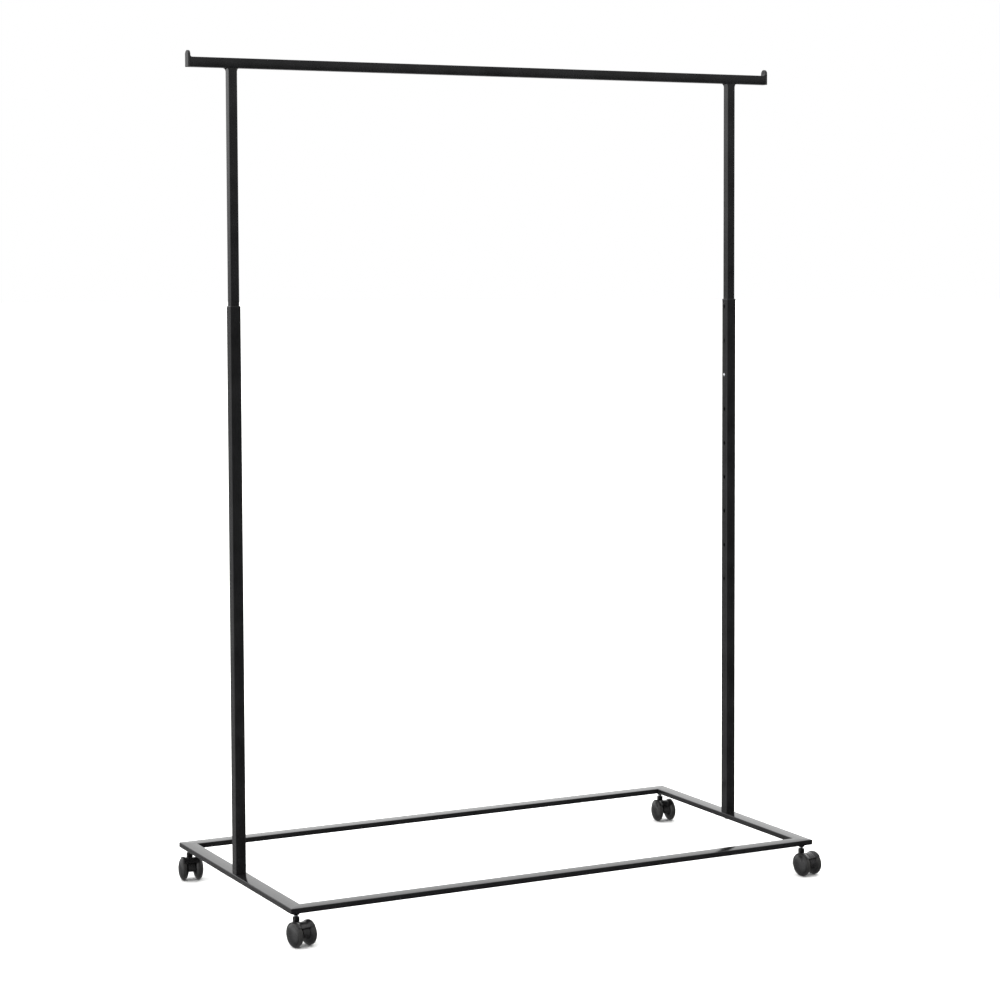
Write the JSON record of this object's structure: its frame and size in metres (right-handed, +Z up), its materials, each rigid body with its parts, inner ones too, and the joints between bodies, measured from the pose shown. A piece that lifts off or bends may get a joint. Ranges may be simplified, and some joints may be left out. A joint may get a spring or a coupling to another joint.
{
  "type": "rolling garment rack",
  "caption": "Rolling single-rail garment rack: a flat mitred base frame on twin-wheel casters, two telescoping square uprights with spring buttons and one hang rail with end stops.",
  "frame": {"origin": "on the floor under the middle of the rack's bounding box", "axes": "+X along the hang rail to the right, +Y from front to back, +Z up"},
  "size_m": [1.3684, 0.6526, 1.7418],
  "materials": {
    "coated_steel": "smooth satin-gloss black powder coating",
    "moulded_cap": "black moulded plastic, satin",
    "hood_nylon": "black moulded nylon, satin",
    "wheel_nylon": "black moulded nylon, satin",
    "zinc_plate": "bright zinc plate",
    "chrome_plate": "polished chrome plate",
    "spring_steel": "bare spring steel"
  },
  "bodies": {
    "base": {"front_base_rail": "coated_steel", "back_base_rail": "coated_steel", "left_base_rail": "coated_steel", "right_base_rail": "coated_steel", "left_lower_tube": "coated_steel", "left_foot_plug": "zinc_plate", "left_foot_bolt": "zinc_plate", "right_lower_tube": "coated_steel", "right_foot_plug": "zinc_plate", "right_foot_bolt": "zinc_plate", "front_left_stem_nut": "coated_steel", "front_left_caster_stem": "zinc_plate", "front_right_stem_nut": "coated_steel", "front_right_caster_stem": "zinc_plate", "back_left_stem_nut": "coated_steel", "back_left_caster_stem": "zinc_plate", "back_right_stem_nut": "coated_steel", "back_right_caster_stem": "zinc_plate"},
    "hang_frame": {"hang_rail": "coated_steel", "left_upper_tube": "coated_steel", "left_end_stop": "moulded_cap", "left_button_spring": "spring_steel", "right_upper_tube": "coated_steel", "right_end_stop": "moulded_cap", "right_button_spring": "spring_steel"},
    "left_button": {"left_snap_button": "chrome_plate"},
    "right_button": {"right_snap_button": "chrome_plate"},
    "front_left_caster": {"front_left_caster_hood": "hood_nylon", "front_left_axle": "zinc_plate"},
    "front_left_wheel_l": {"front_left_wheel_l": "wheel_nylon"},
    "front_left_wheel_r": {"front_left_wheel_r": "wheel_nylon"},
    "front_right_caster": {"front_right_caster_hood": "hood_nylon", "front_right_axle": "zinc_plate"},
    "front_right_wheel_l": {"front_right_wheel_l": "wheel_nylon"},
    "front_right_wheel_r": {"front_right_wheel_r": "wheel_nylon"},
    "back_left_caster": {"back_left_caster_hood": "hood_nylon", "back_left_axle": "zinc_plate"},
    "back_left_wheel_l": {"back_left_wheel_l": "wheel_nylon"},
    "back_left_wheel_r": {"back_left_wheel_r": "wheel_nylon"},
    "back_right_caster": {"back_right_caster_hood": "hood_nylon", "back_right_axle": "zinc_plate"},
    "back_right_wheel_l": {"back_right_wheel_l": "wheel_nylon"},
    "back_right_wheel_r": {"back_right_wheel_r": "wheel_nylon"}
  },
  "joints": [
    {"name": "rail_height", "type": "slide", "parent": "base", "child": "hang_frame", "axis": [0, 0, 1], "range_m": [-0.4572, 0.1524], "deforming": ["left_snap_button", "right_snap_button"]},
    {"name": "left_button_press", "type": "slide", "parent": "hang_frame", "child": "left_button", "axis": [-1, 0, 0], "range_m": [0, 0.0051], "stiffness_N_per_m": 900, "springref_m": -0.004, "deforming": ["left_button_spring"]},
    {"name": "right_button_press", "type": "slide", "parent": "hang_frame", "child": "right_button", "axis": [1, 0, 0], "range_m": [0, 0.0051], "stiffness_N_per_m": 900, "springref_m": -0.004, "deforming": ["right_button_spring"]},
    {"name": "front_left_swivel", "type": "hinge", "parent": "base", "child": "front_left_caster", "pos_m": [-0.588, -0.282, 0.054], "axis": [0, 0, 1], "continuous": true},
    {"name": "front_left_roll_l", "type": "hinge", "parent": "front_left_caster", "child": "front_left_wheel_l", "pos_m": [-0.60011, -0.30391, 0.024], "axis": [0.9792, 0.2028, 0], "continuous": true},
    {"name": "front_left_roll_r", "type": "hinge", "parent": "front_left_caster", "child": "front_left_wheel_r", "pos_m": [-0.56819, -0.2973, 0.024], "axis": [0.9792, 0.2028, 0], "continuous": true},
    {"name": "front_right_swivel", "type": "hinge", "parent": "base", "child": "front_right_caster", "pos_m": [0.588, -0.282, 0.054], "axis": [0, 0, 1], "continuous": true},
    {"name": "front_right_roll_l", "type": "hinge", "parent": "front_right_caster", "child": "front_right_wheel_l", "pos_m": [0.57472, -0.30322, 0.024], "axis": [0.9888, 0.1495, 0], "continuous": true},
    {"name": "front_right_roll_r", "type": "hinge", "parent": "front_right_caster", "child": "front_right_wheel_r", "pos_m": [0.60696, -0.29835, 0.024], "axis": [0.9888, 0.1495, 0], "continuous": true},
    {"name": "back_left_swivel", "type": "hinge", "parent": "base", "child": "back_left_caster", "pos_m": [-0.588, 0.308, 0.054], "axis": [0, 0, 1], "continuous": true},
    {"name": "back_left_roll_l", "type": "hinge", "parent": "back_left_caster", "child": "back_left_wheel_l", "pos_m": [-0.60808, 0.29305, 0.024], "axis": [0.9755, -0.2198, 0], "continuous": true},
    {"name": "back_left_roll_r", "type": "hinge", "parent": "back_left_caster", "child": "back_left_wheel_r", "pos_m": [-0.57628, 0.28588, 0.024], "axis": [0.9755, -0.2198, 0], "continuous": true},
    {"name": "back_right_swivel", "type": "hinge", "parent": "base", "child": "back_right_caster", "pos_m": [0.588, 0.308, 0.054], "axis": [0, 0, 1], "continuous": true},
    {"name": "back_right_roll_l", "type": "hinge", "parent": "back_right_caster", "child": "back_right_wheel_l", "pos_m": [0.56989, 0.29071, 0.024], "axis": [0.9951, -0.0993, 0], "continuous": true},
    {"name": "back_right_roll_r", "type": "hinge", "parent": "back_right_caster", "child": "back_right_wheel_r", "pos_m": [0.60233, 0.28747, 0.024], "axis": [0.9951, -0.0993, 0], "continuous": true}
  ]
}
